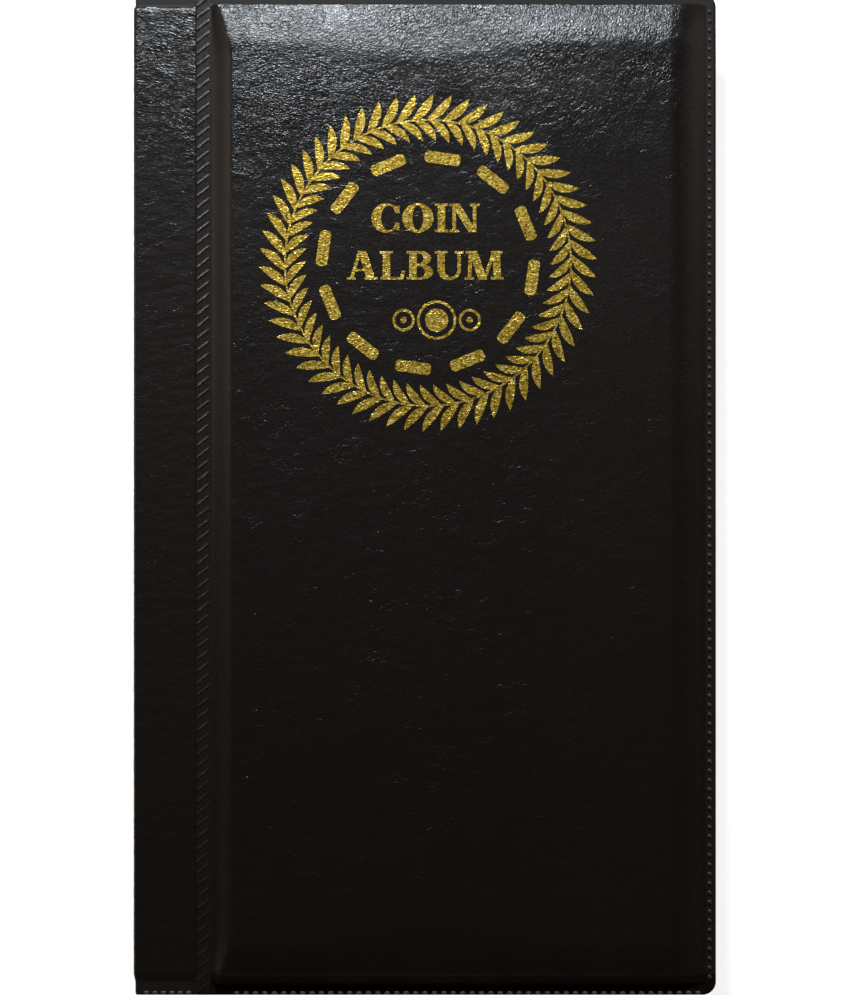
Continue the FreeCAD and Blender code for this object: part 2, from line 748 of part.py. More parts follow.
def write_parts():
    """Check every object and write each sub-part's STEP file."""
    doc.recompute()
    for item in doc.Objects:
        if "Invalid" in item.State or "Error" in item.State:
            raise RuntimeError("%s is %s" % (item.Label, item.State))
    os.makedirs("parts", exist_ok=True)
    for label, item in parts.items():
        shape = item.Shape
        if shape.isNull() or not shape.isValid() or not shape.Solids:
            raise RuntimeError("%s has no valid solid" % label)
        shape.exportStep("parts/%s.step" % label)
        box = shape.BoundBox
        print("%-20s %2d solids %8.1f mm3  z %.2f to %.2f" % (
            label, len(shape.Solids), shape.Volume, box.ZMin, box.ZMax))


spine_wrap()
binding_lining()
binding_boards()
binding_posts()
binding_stack()
hinge_webs()
fold_margins()
cover("front")
cover("back")
for index in range(int(number("leaf_count"))):
    leaf(index)
foil_wreath()
foil_dashes()
foil_title()
foil_emblem()
write_parts()
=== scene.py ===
"""Looks of the coin album: grained black vinyl, gold foil, clear leaves and a welded binding.

X runs across the cover from the spine to the fore-edge, Y from the tail to the head, Z up.
Lengths are millimetres unless a comment says metres; METRE turns them into Blender's units.
Every place on the album comes from the CAD boxes.
"""
import math

import bmesh
import bpy
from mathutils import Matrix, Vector, noise


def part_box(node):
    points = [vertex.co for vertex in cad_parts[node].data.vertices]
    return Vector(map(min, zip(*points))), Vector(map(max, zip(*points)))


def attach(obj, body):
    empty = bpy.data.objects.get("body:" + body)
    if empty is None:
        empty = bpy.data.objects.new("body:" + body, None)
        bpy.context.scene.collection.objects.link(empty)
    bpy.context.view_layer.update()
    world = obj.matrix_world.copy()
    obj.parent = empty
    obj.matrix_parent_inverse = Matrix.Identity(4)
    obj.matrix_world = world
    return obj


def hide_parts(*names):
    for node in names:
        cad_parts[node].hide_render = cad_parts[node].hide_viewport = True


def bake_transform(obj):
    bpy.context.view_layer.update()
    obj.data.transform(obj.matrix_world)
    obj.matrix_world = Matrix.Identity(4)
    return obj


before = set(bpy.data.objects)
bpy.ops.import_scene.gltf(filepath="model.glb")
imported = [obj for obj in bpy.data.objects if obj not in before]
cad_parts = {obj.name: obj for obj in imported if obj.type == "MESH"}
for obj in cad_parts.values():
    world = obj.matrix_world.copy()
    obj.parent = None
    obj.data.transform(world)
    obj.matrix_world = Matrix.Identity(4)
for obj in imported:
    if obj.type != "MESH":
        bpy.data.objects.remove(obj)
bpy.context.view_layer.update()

METRE = 0.001                                # metres in a millimetre
SHARP_ANGLE = 35                             # degrees between faces that are shaded apart
LEAVES = ["leaf_%02d" % number for number in range(1, 11)]


def box_mm(node):
    """A CAD node's lowest and highest corners, in millimetres."""
    low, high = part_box(node)
    return low / METRE, high / METRE


skin_low, skin_high = box_mm("front_skin")
foam_low, foam_high = box_mm("front_foam")
web_low, web_high = box_mm("front_hinge_web")
wrap_low, wrap_high = box_mm("spine_wrap_skin")

# The cover's outline and levels
SKIN = 0.8                                   # vinyl over the foam
THICKNESS = skin_high.z                      # of the closed album
HALF_HEIGHT = skin_high.y
PANEL_LEFT = skin_low.x
PANEL_RIGHT = skin_high.x
PANEL_BASE = skin_low.z
RAISED_LEFT = foam_low.x - SKIN              # the padded area
RAISED_RIGHT = foam_high.x + SKIN
RAISED_HALF = foam_high.y + SKIN
RIM_TOP = web_high.z
CROWN_RISE = THICKNESS - RIM_TOP
CORNER = 3.0                                 # rounding of the album's outer corners
ROLL_DEPTH = 0.35                            # rolled outer edge of the rim
ROLL_REACH = 0.5

# The padded crown
FLANK_FOOT = wrap_high.x + 0.3               # smooth slope from the channel up to the crown
CROWN_LEFT = RAISED_LEFT + 0.6
FLARE = 3.6                                  # how far the crown's corners reach towards the spine
FLARE_REACH = 13.0                           # how far along the edge the flare runs
SLOPE_FOOT = RAISED_RIGHT + 1.2              # smooth slope down to the fore-edge rim
SLOPE = 8.0                                  # width of that slope
END_WALL = 0.35                              # the near-upright fold at the head
TAIL_WALL = 0.7                              # the same fold at the tail
FLANK_WALL = 1.6                             # the same fold where the flank runs out, softer
GATHER = 0.52                                # share of the rise gained slowly inward of the fold
GATHER_REACH = 9.0                           # how far inward it is gained
GATHER_MIDDLE = 4.0                          # extra reach at the middle of the head and the tail
BACK_FILL = 0.35                             # lifts the back's crown to the flat it rests on
FOLD_REACH = HALF_HEIGHT - RAISED_HALF + 1   # the end of the cover that holds the rim and the fold

# The binding strip and its rope line
ROPE_WIDTH = 3.2                             # of the welded rope line
WELD_RIGHT = wrap_high.x
WELD_LEFT = WELD_RIGHT - ROPE_WIDTH
ROPE_PITCH = 2.67                            # from one ridge to the next
ROPE_SLANT = 0.79                            # rise of a rope ridge over its run
ROPE_RIDGE = 0.15                            # height of a ridge
ROPE_SINK = 0.20                             # depth of the pressed band below the strip
ROPE_BASE = 0.85                             # depth of the band's underside below the strip
SPINE_LEFT = wrap_low.x
STRIP_TOP = wrap_high.z
STRIP_RIM = 2.7                              # pressed edge at the strip's head and tail
STRIP_RIM_DEPTH = 0.45
HEAD_FADE = 0.5                              # width of the step down to that edge at the head
TAIL_FADE = 2.0                              # and at the tail
STRIP_LIP = 0.3                              # rolled outer edge of the strip
WRAP_WALL = 0.6                              # thickness of the spine's vinyl as drawn
WRAP_ROUND = 1.0                             # rounding of the spine's two long edges
ROUND_STEPS = 6
BEND_WRINKLES = 0.7                          # share of the strip's wrinkles kept round the spine
STRIP_GRAIN = 0.7                            # grain of the strips beside the panel's

# Stitches
STITCH_PITCH = 2.10                          # from one stitch to the next
STITCH_LENGTH = 1.5
STITCH_WIDTH = 0.75
FORE_STITCH_WIDTH = 1.15                     # along the fore-edge, where they are broader
STITCH_HEIGHT = 0.6
END_STITCH_INSET = 0.6                       # from the head or the tail to the row's middle
FORE_STITCH_INSET = 1.45

# Leaves and foil
LEAF_BEND = 3.0                              # length of film beside the binding given closer-set vertices
LEAF_CORNER = 2.0
LEAF_WAVE = 0.05                             # unevenness of a film
FOIL_HALF = 0.05                             # half the foil's thickness
FOIL_STEP = 0.0012                           # metres between the cuts that let foil follow the crown

# Relief of each kind of grain
GRAIN_FINE = 0.046
GRAIN_CELL = 0.036
GRAIN_CREASE = 0.050
GRAIN_SPECK = 0.030

# Values that a vertex's grain takes where there is none
MATT_RIM = -1.0
DULL_TAIL = -2.0

# Studio; lengths here are metres
FLOOR_GLOW = 0.85                            # strength of the floor's own light
FLOOR_GAP = 0.0002                           # keeps the floor just clear of the back cover
FLOOR_REACH = 1.5
CAMERA_HEIGHT = 0.75
VIEW_HEIGHT = 0.2236                         # what the view's height spans at the rim's level
VIEW_CENTRE = (0.0001, -0.0007)


# ---------------------------------------------------------------- mesh helpers

def new_object(name, vertices, faces, material):
    """A mesh object from millimetre vertices, smooth except at sharp edges."""
    mesh = bpy.data.meshes.new(name)
    mesh.from_pydata([(x * METRE, y * METRE, z * METRE) for x, y, z in vertices], [], faces)
    mesh.materials.append(material)
    mesh.polygons.foreach_set("use_smooth", [True] * len(mesh.polygons))
    mesh.set_sharp_from_angle(angle=math.radians(SHARP_ANGLE))
    mesh.update()
    piece = bpy.data.objects.new(name, mesh)
    bpy.context.scene.collection.objects.link(piece)
    return piece


def grid_quads(columns, rows, first=0, flip=False):
    """Quads over a grid of vertices stored row by row."""
    quads = []
    for row in range(rows - 1):
        for column in range(columns - 1):
            corner = first + row * columns + column
            quad = (corner, corner + 1, corner + columns + 1, corner + columns)
            quads.append(tuple(reversed(quad)) if flip else quad)
    return quads


def rim_loop(columns, rows):
    """Indices around a grid's border, anticlockwise."""
    loop = list(range(columns))
    loop += [row * columns + columns - 1 for row in range(1, rows)]
    loop += [(rows - 1) * columns + column for column in range(columns - 2, -1, -1)]
    loop += [row * columns for row in range(rows - 2, 0, -1)]
    return loop


def spaced(start, end, step):
    """Even places from start to end, about a step apart."""
    count = max(1, round((end - start) / step))
    return [start + (end - start) * index / count for index in range(count + 1)]


def round_corner(x, y, right, half, radius):
    """Move a point of a rectangle onto the same rectangle with rounded right corners."""
    centre_y = math.copysign(half - radius, y)
    up = (y - centre_y) / math.copysign(radius, y)
    across = (x - (right - radius)) / radius
    if across <= 0 or up <= 0:
        return x, y
    new_x = right - radius + radius * across * math.sqrt(1 - up * up / 2)
    new_y = centre_y + math.copysign(radius, y) * up * math.sqrt(1 - across * across / 2)
    return new_x, new_y


def facing(side, z):
    """Height of a front-cover point on either cover."""
    return z if side == "front" else THICKNESS - z


def ends_finer(reach, fine, coarse):
    """Places from the tail to the head, closer together within reach of each end."""
    inner = HALF_HEIGHT - reach
    tail = spaced(-HALF_HEIGHT, -inner, fine)
    middle = spaced(-inner, inner, coarse)
    head = spaced(inner, HALF_HEIGHT, fine)
    return tail[:-1] + middle[:-1] + head


def closed_sheet(name, side, xs, ys, shape, base, material, corner=0.0, grain=None):
    """A closed piece: a shaped outer surface, upright walls and a flat inner face."""
    columns, rows = len(xs), len(ys)
    right, half = xs[-1], ys[-1]
    vertices = []
    for y in ys:
        for x in xs:
            place = (x, y)
            if corner:
                place = round_corner(x, y, right, half, corner)
            vertices.append((place[0], place[1], facing(side, shape(x, y))))
    faces = grid_quads(columns, rows, 0, side == "back")
    loop = rim_loop(columns, rows)
    first = len(vertices)
    vertices += [(vertices[i][0], vertices[i][1], facing(side, base)) for i in loop]
    count = len(loop)
    for index in range(count):
        following = (index + 1) % count
        wall = (loop[following], loop[index], first + index, first + following)
        faces.append(wall if side == "front" else tuple(reversed(wall)))
    floor = [first + index for index in range(count)]
    faces.append(tuple(reversed(floor)) if side == "front" else tuple(floor))
    piece = new_object(name, vertices, faces, material)
    if grain:
        shares = [grain(x, y) for y in ys for x in xs] + [0.0] * count
        mark_grain(piece, shares)
    return piece


def mark_grain(piece, shares):
    """Store how much grain each vertex keeps, for the vinyl's material."""
    layer = piece.data.attributes.new("grain", "FLOAT", "POINT")
    layer.data.foreach_set("value", shares)


# ------------------------------------------------------------------ the shapes

def ease(value):
    """0 to 1, quick at first and level at the end."""
    value = min(max(value, 0.0), 1.0)
    return math.sin(value * math.pi / 2)


def soft_step(value):
    """0 to 1, level at both ends."""
    value = min(max(value, 0.0), 1.0)
    return value * value * (3 - 2 * value)


def slant(value):
    """0 to 1, nearly straight, with its ends only just eased."""
    value = min(max(value, 0.0), 1.0)
    return (3 * value + soft_step(value)) / 4


def crease(x, y, along, across, turn, seed):
    """Thin ridges that run mostly along one direction, from 0 to 1."""
    cos, sin = math.cos(turn), math.sin(turn)
    u = (x * cos + y * sin) / along
    v = (y * cos - x * sin) / across
    return (1 - abs(noise.noise(Vector((u, v, seed)))) * 2) ** 2


def flow_turn(x, y):
    """Direction of the panel's creases: level at the spine, steep by the head's fore-edge corner."""
    lean = soft_step((x + 5) / 55) * soft_step((y - 10) / 70)
    return lean * math.radians(68)


def crown_left(y):
    """Where the crown's top begins; it flares towards the spine at the head and the tail."""
    near = max(0.0, abs(y) - RAISED_HALF + FLARE_REACH) / FLARE_REACH
    return CROWN_LEFT - FLARE * near ** 1.6


def crown_share(x, y):
    """How much of the crown's rise is reached, from 0 on the rim to 1 on the panel."""
    left = slant((x - FLANK_FOOT) / (crown_left(y) - FLANK_FOOT))
    right = 1 - min(max(1 - (SLOPE_FOOT - x) / SLOPE, 0.0), 1.0) ** 1.5
    end = RAISED_HALF - abs(y)
    fold = END_WALL if y > 0 else TAIL_WALL
    wall = ease(end / (fold + (FLANK_WALL - fold) * (1 - left)))
    reach = GATHER_REACH + GATHER_MIDDLE * math.exp(-(x / 22) ** 2)
    gather = max(0.0, 1 - max(end, 0.0) / reach)
    return left * right * wall * (1 - GATHER * gather ** 1.35)


def outer_round(x, y):
    """The rolled outer edge of the rim."""
    inset = min(PANEL_RIGHT - x, HALF_HEIGHT - abs(y))
    return ROLL_DEPTH * (1 - ease(inset / ROLL_REACH))


def cover_height(x, y):
    """Height of the front cover's vinyl: rim, channel, flank and padded crown."""
    share = crown_share(x, y)
    lump = noise.noise(Vector((x / 28, y / 34, 3.1))) * 0.12
    fold = crease(x, y, along=7.0, across=2.6, turn=flow_turn(x, y), seed=8.7) * 0.03
    fine = crease(x, y, along=3.2, across=1.5, turn=flow_turn(x, y), seed=1.3) * 0.01
    highest = 0.16                           # taken off, so that the relief stays inside the CAD
    relief = share * share * (lump + fold + fine - highest)
    return RIM_TOP - outer_round(x, y) + CROWN_RISE * share + relief


def back_height(x, y):
    """The back cover's vinyl, pressed flat where it rests."""
    return min(cover_height(x, y) + BACK_FILL * crown_share(x, y), THICKNESS)


COVER_SHAPES = {"front": cover_height, "back": back_height}


def wrinkling(x, y):
    """The grain's depth: deepest where the vinyl is drawn over the head, less by the fore-edge."""
    at_tail, gained_at_head, lost_at_fore_edge = 0.40, 0.80, 0.30
    calm = lost_at_fore_edge * soft_step((x - 15) / 25) * (1 - soft_step((y - 92) / 12))
    return (at_tail + gained_at_head * soft_step((y - 55) / 50)) * (1 - calm)


def grain_share(x, y):
    """How much embossed grain there is: about 1 on the crown, 0 on smooth flanks, less on the rim."""
    tail_zone, left_fade, right_fade = 2.5, 0.8, 5.5
    if y < tail_zone - RAISED_HALF:
        return DULL_TAIL
    if x > SLOPE_FOOT or y > RAISED_HALF:
        return MATT_RIM
    left = soft_step((x - crown_left(y)) / left_fade + 0.5)
    right = soft_step((RAISED_RIGHT - x) / right_fade)
    return left * right * wrinkling(x, y)


def strip_relief(x, y):
    """Small level wrinkles of the plain binding strip."""
    wide = crease(x, y, along=6.0, across=1.9, turn=0.06, seed=21.0) * 0.05
    highest = 0.08                           # taken off, so that the relief stays inside the CAD
    return wide + crease(x, y, along=2.6, across=1.1, turn=-0.1, seed=5.0) * 0.03 - highest


def rope_height(x, y):
    """A flat band crossed by low slanted ridges, steep towards the tail and gentle towards the head."""
    tail_foot, tail_face, head_foot, head_face = 0.38, 0.18, 0.35, 0.55
    edge_depth, end_reach, end_depth = 0.15, 1.0, 0.3
    across = (x - WELD_LEFT) / (WELD_RIGHT - WELD_LEFT)
    phase = (y - (x - WELD_LEFT) * ROPE_SLANT) / ROPE_PITCH
    off = (phase - round(phase)) * ROPE_PITCH
    ridge = max(0.0, min((off + tail_foot) / tail_face, (head_foot - off) / head_face))
    middle = 1 - abs(2 * across - 1) ** 8
    end = ease((HALF_HEIGHT - abs(y)) / end_reach)
    edge = edge_depth * max(0.0, 1 - 2 * across) ** 10
    return STRIP_TOP - ROPE_SINK - edge + ROPE_RIDGE * ridge * middle * end - end_depth * (1 - end)


# --------------------------------------------------------------- the materials

def nodes_of(name):
    """A new material with its node tree, shader and a coordinate in millimetres."""
    material = bpy.data.materials.new(name)
    material.use_nodes = True
    tree = material.node_tree
    shader = tree.nodes["Principled BSDF"]
    place = tree.nodes.new("ShaderNodeTexCoord")
    scale = tree.nodes.new("ShaderNodeMapping")
    scale.inputs["Scale"].default_value = (1 / METRE,) * 3
    tree.links.new(place.outputs["Object"], scale.inputs["Vector"])
    return material, tree, shader, scale.outputs["Vector"]


def mapped(tree, source, scale, turn=0.0):
    """Coordinates along axes turned about Z, then scaled."""
    node = tree.nodes.new("ShaderNodeMapping")
    node.vector_type = "TEXTURE"
    node.inputs["Scale"].default_value = [1 / share for share in scale]
    node.inputs["Rotation"].default_value = (0, 0, turn)
    tree.links.new(source, node.inputs["Vector"])
    return node.outputs["Vector"]


def noise_node(tree, source, scale, detail, rough=0.5):
    """A noise texture; scale is in features per millimetre."""
    node = tree.nodes.new("ShaderNodeTexNoise")
    node.noise_type = "FBM"
    node.inputs["Scale"].default_value = scale
    node.inputs["Detail"].default_value = detail
    node.inputs["Roughness"].default_value = rough
    tree.links.new(source, node.inputs["Vector"])
    return node


def math_node(tree, operation, *values):
    """One arithmetic step on sockets or numbers."""
    node = tree.nodes.new("ShaderNodeMath")
    node.operation = operation
    for socket, value in zip(node.inputs, values):
        if isinstance(value, (int, float)):
            socket.default_value = value
        else:
            tree.links.new(value, socket)
    return node.outputs[0]


def ramp(tree, source, low, high, start=0.0, end=1.0):
    """Map a range onto another, clamped."""
    node = tree.nodes.new("ShaderNodeMapRange")
    node.inputs["From Min"].default_value = low
    node.inputs["From Max"].default_value = high
    node.inputs["To Min"].default_value = start
    node.inputs["To Max"].default_value = end
    tree.links.new(source, node.inputs["Value"])
    return node.outputs["Result"]


def from_noise(tree, source, start, end):
    """Spread the usual range of a noise over another."""
    return ramp(tree, source, 0.3, 0.7, start, end)


def colour_ramp(tree, source, stops):
    """A colour ramp through (place, colour) stops."""
    node = tree.nodes.new("ShaderNodeValToRGB")
    ends = node.color_ramp.elements
    ends[0].position, ends[0].color = stops[0][0], (*stops[0][1], 1)
    ends[1].position, ends[1].color = stops[-1][0], (*stops[-1][1], 1)
    for place, colour in stops[1:-1]:
        element = ends.new(place)
        element.color = (*colour, 1)
    tree.links.new(source, node.inputs["Fac"])
    return node.outputs["Color"]


def warped(tree, source, amount):
    """Coordinates pushed about by soft noise, so that straight cells turn organic."""
    push = noise_node(tree, source, 0.45, 2.0)
    centre = tree.nodes.new("ShaderNodeVectorMath")
    centre.operation = "SUBTRACT"
    centre.inputs[1].default_value = (0.5, 0.5, 0.5)
    tree.links.new(push.outputs["Color"], centre.inputs[0])
    scaled = tree.nodes.new("ShaderNodeVectorMath")
    scaled.operation = "SCALE"
    scaled.inputs["Scale"].default_value = amount
    tree.links.new(centre.outputs["Vector"], scaled.inputs[0])
    total = tree.nodes.new("ShaderNodeVectorMath")
    total.operation = "ADD"
    tree.links.new(source, total.inputs[0])
    tree.links.new(scaled.outputs["Vector"], total.inputs[1])
    return total.outputs["Vector"]


def crackle(tree, source, scale, width):
    """Creases between irregular cells: 0 in a crease, 1 on a cell."""
    node = tree.nodes.new("ShaderNodeTexVoronoi")
    node.feature = "DISTANCE_TO_EDGE"
    node.inputs["Scale"].default_value = scale
    tree.links.new(source, node.inputs["Vector"])
    return ramp(tree, node.outputs["Distance"], 0.0, width)


def bump(tree, shader, height, distance):
    """Drive the shader's normal from a height."""
    node = tree.nodes.new("ShaderNodeBump")
    node.inputs["Strength"].default_value = 1.0
    node.inputs["Distance"].default_value = distance * METRE
    tree.links.new(height, node.inputs["Height"])
    tree.links.new(node.outputs["Normal"], shader.inputs["Normal"])


def worms(tree, place, turn, wide, long, valley):
    """Wandering creases that run mostly along one direction: 0 in a crease, 1 beside it."""
    lines = noise_node(tree, mapped(tree, place, (1 / long, 1 / wide, 1 / wide), turn), 1.0, 3.0)
    off = math_node(tree, "ABSOLUTE", math_node(tree, "SUBTRACT", lines.outputs["Fac"], 0.5))
    return ramp(tree, off, 0.0, valley)


def plates(tree, place, turn, wide, long, valley):
    """Plates bounded by thin creases that run mostly along one direction."""
    cells = mapped(tree, place, (1 / long, 1 / wide, 1 / wide), turn)
    return crackle(tree, cells, 1.0, valley)


def mix_numbers(tree, factor, first, second):
    """Blend two numbers."""
    node = tree.nodes.new("ShaderNodeMix")
    tree.links.new(factor, node.inputs["Factor"])
    tree.links.new(first, node.inputs["A"])
    tree.links.new(second, node.inputs["B"])
    return node.outputs["Result"]


def lean_masks(tree, place):
    """Where the creases lean over near the head's fore-edge corner, and where they stand at the head."""
    wander, head_wander = 50.0, 12.0
    split = tree.nodes.new("ShaderNodeSeparateXYZ")
    tree.links.new(place, split.inputs[0])
    blur = noise_node(tree, place, 0.06, 2.0).outputs["Fac"]
    across = math_node(tree, "MULTIPLY_ADD", blur, wander, split.outputs["X"])
    up = math_node(tree, "MULTIPLY_ADD", blur, wander, split.outputs["Y"])
    lean = math_node(tree, "MULTIPLY", ramp(tree, across, 5.0, 35.0), ramp(tree, up, 70.0, 110.0))
    head = math_node(tree, "MULTIPLY_ADD", blur, head_wander, split.outputs["Y"])
    stand = math_node(tree, "MULTIPLY", ramp(tree, across, 0.0, 25.0), ramp(tree, head, 103.0, 113.0))
    return lean, stand


def turned(tree, masks, pattern):
    """A pattern of creases laid level, leaning and upright, each shown in its own region."""
    lean, stand = masks
    level, leaning, upright = [math.radians(angle) for angle in (-8, 52, 84)]
    slanted = mix_numbers(tree, lean, pattern(level), pattern(leaning))
    return mix_numbers(tree, stand, slanted, pattern(upright))


def grain_height(tree, place, pull=1.0, share=None):
    """Grain in millimetres: fine creases, plates and specks under a few wider, wandering creases.

    pull stretches it, and share fades it where the vinyl is smooth.
    """
    moved = warped(tree, place, 1.2)
    masks = lean_masks(tree, place)
    fine = turned(tree, masks, lambda turn: worms(
        tree, moved, turn, wide=0.72, long=1.7 * pull, valley=0.26))
    cells = turned(tree, masks, lambda turn: plates(
        tree, moved, turn, wide=0.52, long=0.9 * pull, valley=0.42))
    speck = noise_node(tree, place, 1.6, 3.0).outputs["Fac"]
    total = math_node(tree, "MULTIPLY", fine, GRAIN_FINE)
    total = math_node(tree, "MULTIPLY_ADD", cells, GRAIN_CELL, total)
    total = math_node(tree, "MULTIPLY_ADD", speck, GRAIN_SPECK, total)
    wander = warped(tree, place, 5.0)
    creases = worms(tree, wander, math.radians(12), wide=5.0, long=9.0 * pull, valley=0.042)
    patch = noise_node(tree, place, 0.16, 3.0).outputs["Fac"]
    shown = math_node(tree, "MULTIPLY", creases, ramp(tree, patch, 0.42, 0.60))
    if share is not None:
        total = math_node(tree, "MULTIPLY", total, share)
        shown = math_node(tree, "MULTIPLY", shown, ramp(tree, share, 0.25, 0.7, 0.45, 1.0))
    return math_node(tree, "MULTIPLY_ADD", shown, GRAIN_CREASE, total)


def vinyl(name, pull=1.0, pale=1.0):
    """Glossy black vinyl: grained, smooth and browner, or pressed and matt, by the piece's grain.

    pull stretches the grain, and pale lightens the colour; on the stitches that lightening is a painted
    highlight.
    """
    material, tree, shader, place = nodes_of(name)
    grain = tree.nodes.new("ShaderNodeAttribute")
    grain.attribute_name = "grain"
    share = math_node(tree, "MAXIMUM", grain.outputs["Fac"], 0.0)
    pressed = ramp(tree, grain.outputs["Fac"], 0.0, DULL_TAIL)
    worn = noise_node(tree, place, 0.12, 3.0).outputs["Fac"]
    fine = noise_node(tree, place, 1.8, 3.0).outputs["Fac"]
    mixed = math_node(tree, "MULTIPLY_ADD", worn, 0.3, math_node(tree, "MULTIPLY", share, 0.7))
    stops = [(0.10, (0.0110, 0.0076, 0.0056)), (0.20, (0.0095, 0.0066, 0.0049)),
             (0.75, (0.0045, 0.0036, 0.0032)), (0.95, (0.0070, 0.0057, 0.0050))]
    tint = colour_ramp(tree, mixed, [(spot, [pale * part for part in colour]) for spot, colour in stops])
    tree.links.new(tint, shader.inputs["Base Color"])
    smooth_rough = from_noise(tree, fine, 0.27, 0.37)
    rough = mix_numbers(tree, share, smooth_rough, from_noise(tree, worn, 0.25, 0.31))
    pressed_rough = 0.5
    rough = math_node(tree, "MULTIPLY_ADD", pressed, pressed_rough, rough)
    tree.links.new(rough, shader.inputs["Roughness"])
    relief = grain_height(tree, place, pull, share)
    height = math_node(tree, "MULTIPLY", relief, ramp(tree, share, 0.0, 0.15))
    cavity = ramp(tree, relief, 0.02, 0.12, 0.36, 0.60)
    shine = mix_numbers(tree, share, from_noise(tree, fine, 0.46, 0.54), cavity)
    shine = math_node(tree, "MULTIPLY", shine, ramp(tree, pressed, 0.0, 1.0, 1.0, 0.0))
    tree.links.new(shine, shader.inputs["Specular IOR Level"])
    haze = 0.010
    bump(tree, shader, math_node(tree, "MULTIPLY_ADD", fine, haze, height), 1.0)
    return material


def gold_foil():
    """Hot-stamped gold: metallic, mottled by the grain beneath it."""
    material, tree, shader, place = nodes_of("gold_foil")
    height = grain_height(tree, place)
    speck = noise_node(tree, place, 1.9, 4.0, rough=0.75)
    tint = colour_ramp(tree, speck.outputs["Fac"], [
        (0.36, (0.07, 0.035, 0.002)), (0.46, (0.36, 0.215, 0.014)),
        (0.56, (0.64, 0.45, 0.065)), (0.68, (1.0, 0.90, 0.38))])
    tree.links.new(tint, shader.inputs["Base Color"])
    shader.inputs["Metallic"].default_value = 0.8
    rough = from_noise(tree, speck.outputs["Fac"], 0.48, 0.34)
    tree.links.new(rough, shader.inputs["Roughness"])
    bump(tree, shader, height, 0.8)
    return material


def clear_film(name, alpha, frost):
    """Clear PVC film with faint drawn lines and a cool tint."""
    material, tree, shader, place = nodes_of(name)
    lines = noise_node(tree, mapped(tree, place, (0.02, 0.5, 0.5)), 1.0, 4.0)
    tint = colour_ramp(tree, lines.outputs["Fac"], [(0.3, (0.70, 0.76, 0.80)), (0.7, (0.86, 0.90, 0.93))])
    tree.links.new(tint, shader.inputs["Base Color"])
    rough = from_noise(tree, lines.outputs["Fac"], frost, frost + 0.12)
    tree.links.new(rough, shader.inputs["Roughness"])
    shader.inputs["Alpha"].default_value = alpha
    bump(tree, shader, lines.outputs["Fac"], 0.05)
    return material


def lining_vinyl():
    """Fine matte black lining with a pressed pebble pattern."""
    material, tree, shader, place = nodes_of("lining_vinyl")
    cells = crackle(tree, mapped(tree, place, (1.6, 1.6, 1.0)), 1.0, 0.3)
    fine = noise_node(tree, place, 3.0, 2.0)
    height = math_node(tree, "ADD", cells, fine.outputs["Fac"])
    tint = colour_ramp(tree, height, [(0.4, (0.012, 0.012, 0.012)), (1.5, (0.022, 0.021, 0.021))])
    tree.links.new(tint, shader.inputs["Base Color"])
    rough = from_noise(tree, fine.outputs["Fac"], 0.5, 0.65)
    tree.links.new(rough, shader.inputs["Roughness"])
    bump(tree, shader, height, 0.04)
    return material


def grey_board():
    """Uncoated grey card with flecks and a layered edge."""
    material, tree, shader, place = nodes_of("grey_board")
    fibre = noise_node(tree, mapped(tree, place, (1.0, 0.35, 4.0)), 1.2, 5.0, rough=0.65)
    tint = colour_ramp(tree, fibre.outputs["Fac"], [
        (0.3, (0.20, 0.185, 0.165)), (0.5, (0.33, 0.31, 0.28)), (0.7, (0.42, 0.40, 0.37))])
    tree.links.new(tint, shader.inputs["Base Color"])
    rough = ramp(tree, fibre.outputs["Fac"], 0.2, 0.8, 0.82, 0.95)
    tree.links.new(rough, shader.inputs["Roughness"])
    bump(tree, shader, fibre.outputs["Fac"], 0.05)
    return material


def plated_steel():
    """Nickel-plated rivets with fine scratches."""
    material, tree, shader, place = nodes_of("plated_steel")
    scratch = noise_node(tree, mapped(tree, place, (6.0, 0.6, 0.6)), 1.0, 4.0)
    tint = colour_ramp(tree, scratch.outputs["Fac"], [(0.3, (0.45, 0.45, 0.44)), (0.7, (0.68, 0.68, 0.66))])
    tree.links.new(tint, shader.inputs["Base Color"])
    shader.inputs["Metallic"].default_value = 1.0
    rough = from_noise(tree, scratch.outputs["Fac"], 0.22, 0.38)
    tree.links.new(rough, shader.inputs["Roughness"])
    bump(tree, shader, scratch.outputs["Fac"], 0.01)
    return material


def pale_floor():
    """A plain pale tabletop with very faint unevenness."""
    material, tree, shader, place = nodes_of("pale_floor")
    soft = noise_node(tree, place, 0.01, 2.0)
    tint = colour_ramp(tree, soft.outputs["Fac"], [(0.3, (0.86, 0.86, 0.86)), (0.7, (0.90, 0.90, 0.90))])
    tree.links.new(tint, shader.inputs["Base Color"])
    shader.inputs["Roughness"].default_value = 0.9
    shader.inputs["Emission Color"].default_value = (1, 1, 1, 1)
    shader.inputs["Emission Strength"].default_value = FLOOR_GLOW
    return material


# ------------------------------------------------------------------ the pieces

def padded_panel(side, material):
    """The cover's crowned vinyl panel with its flat welded rim."""
    finer_from = PANEL_RIGHT - 5.5
    xs = spaced(PANEL_LEFT, finer_from, 0.6)[:-1] + spaced(finer_from, PANEL_RIGHT, 0.25)
    ys = ends_finer(FOLD_REACH, 0.12, 0.6)
    panel = closed_sheet(side + "_panel", side, xs, ys, COVER_SHAPES[side], PANEL_BASE, material,
                         corner=CORNER, grain=grain_share)
    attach(panel, side + "_cover")
    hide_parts(side + "_skin", side + "_foam")


def rope_weld(side, material):
    """The welded rope line beside the plain strip."""
    xs = spaced(WELD_LEFT, WELD_RIGHT, 0.2)
    ys = spaced(-HALF_HEIGHT, HALF_HEIGHT, 0.15)
    rope = closed_sheet(side + "_rope_weld", side, xs, ys, rope_height, STRIP_TOP - ROPE_BASE, material)
    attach(rope, "binding")


